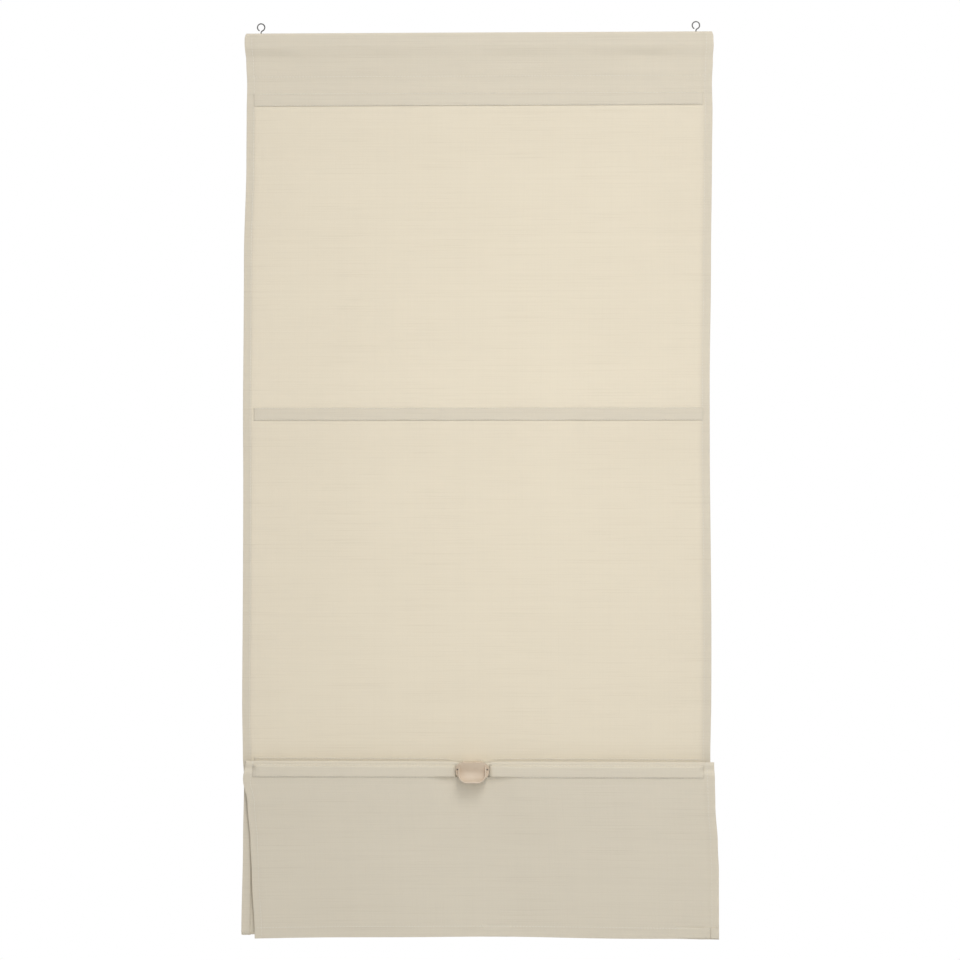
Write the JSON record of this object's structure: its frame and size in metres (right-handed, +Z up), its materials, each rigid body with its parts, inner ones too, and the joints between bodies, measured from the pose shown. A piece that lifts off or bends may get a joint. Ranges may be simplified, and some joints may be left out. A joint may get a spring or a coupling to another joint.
{
  "type": "roman blind",
  "caption": "Cream cloth roman blind hung from wire eyes, stiffened by rods in sewn tunnels, its lowest section folded up and held by a hook-on finger pull.",
  "frame": {"origin": "midway between the centres of the two hanging eyes", "axes": "+Z up, +X to the right seen from the front, the front of the blind faces -Y"},
  "size_m": [0.6113, 0.0368, 1.1739],
  "materials": {
    "cloth": "plain-woven cream cotton blend, slightly see-through",
    "tape": "the same cloth, sewn on as a tunnel",
    "batten": "planed pale softwood, unfinished",
    "rod": "white glass-fibre rod, satin",
    "eye": "plated steel wire",
    "pull": "moulded beige plastic, fine satin"
  },
  "bodies": {
    "blind": {"fabric": "cloth", "head_batten": "batten", "screw_eye_left": "eye", "screw_eye_right": "eye", "pocket_tape_1": "tape", "pocket_tape_2": "tape", "pocket_tape_3": "tape", "pocket_tape_4": "tape", "rod_1": "rod", "rod_2": "rod", "rod_3": "rod", "rod_4": "rod"},
    "pull": {"pull": "pull"}
  },
  "joints": [
    {"name": "pull_turn", "type": "hinge", "parent": "blind", "child": "pull", "pos_m": [-0.0066, -0.0165, -0.9547], "axis": [1, 0, 0], "range_deg": [0, 25]}
  ]
}
